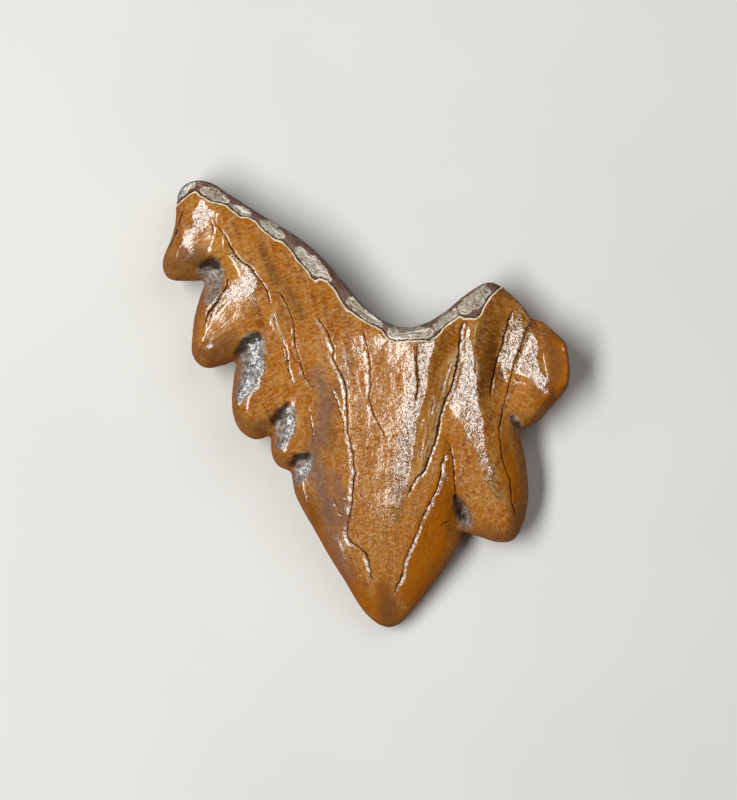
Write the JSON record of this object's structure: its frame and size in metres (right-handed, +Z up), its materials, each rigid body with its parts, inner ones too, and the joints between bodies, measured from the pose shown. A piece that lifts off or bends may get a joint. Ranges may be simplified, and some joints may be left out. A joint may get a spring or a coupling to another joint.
{
  "type": "fossil whale tooth",
  "caption": "Broken crown of a fossil whale's cheek tooth: a pointed main cusp, small lobed cusps down one edge and two long ones down the other, lying on its inner face.",
  "frame": {"origin": "on the surface the tooth lies on, below the middle of its plan box", "axes": "+Y from the cusp's tip towards the broken base, +X towards the edge with the two long cusps, +Z up, out of the crown's outer face"},
  "size_m": [0.06, 0.066, 0.0148],
  "materials": {
    "tooth": "worn, glossy caramel-brown fossil enamel, cracked, with grey-stained hollows and a brown-purple dentine edge along the broken base"
  },
  "bodies": {
    "root": {"tooth": "tooth"}
  },
  "joints": []
}
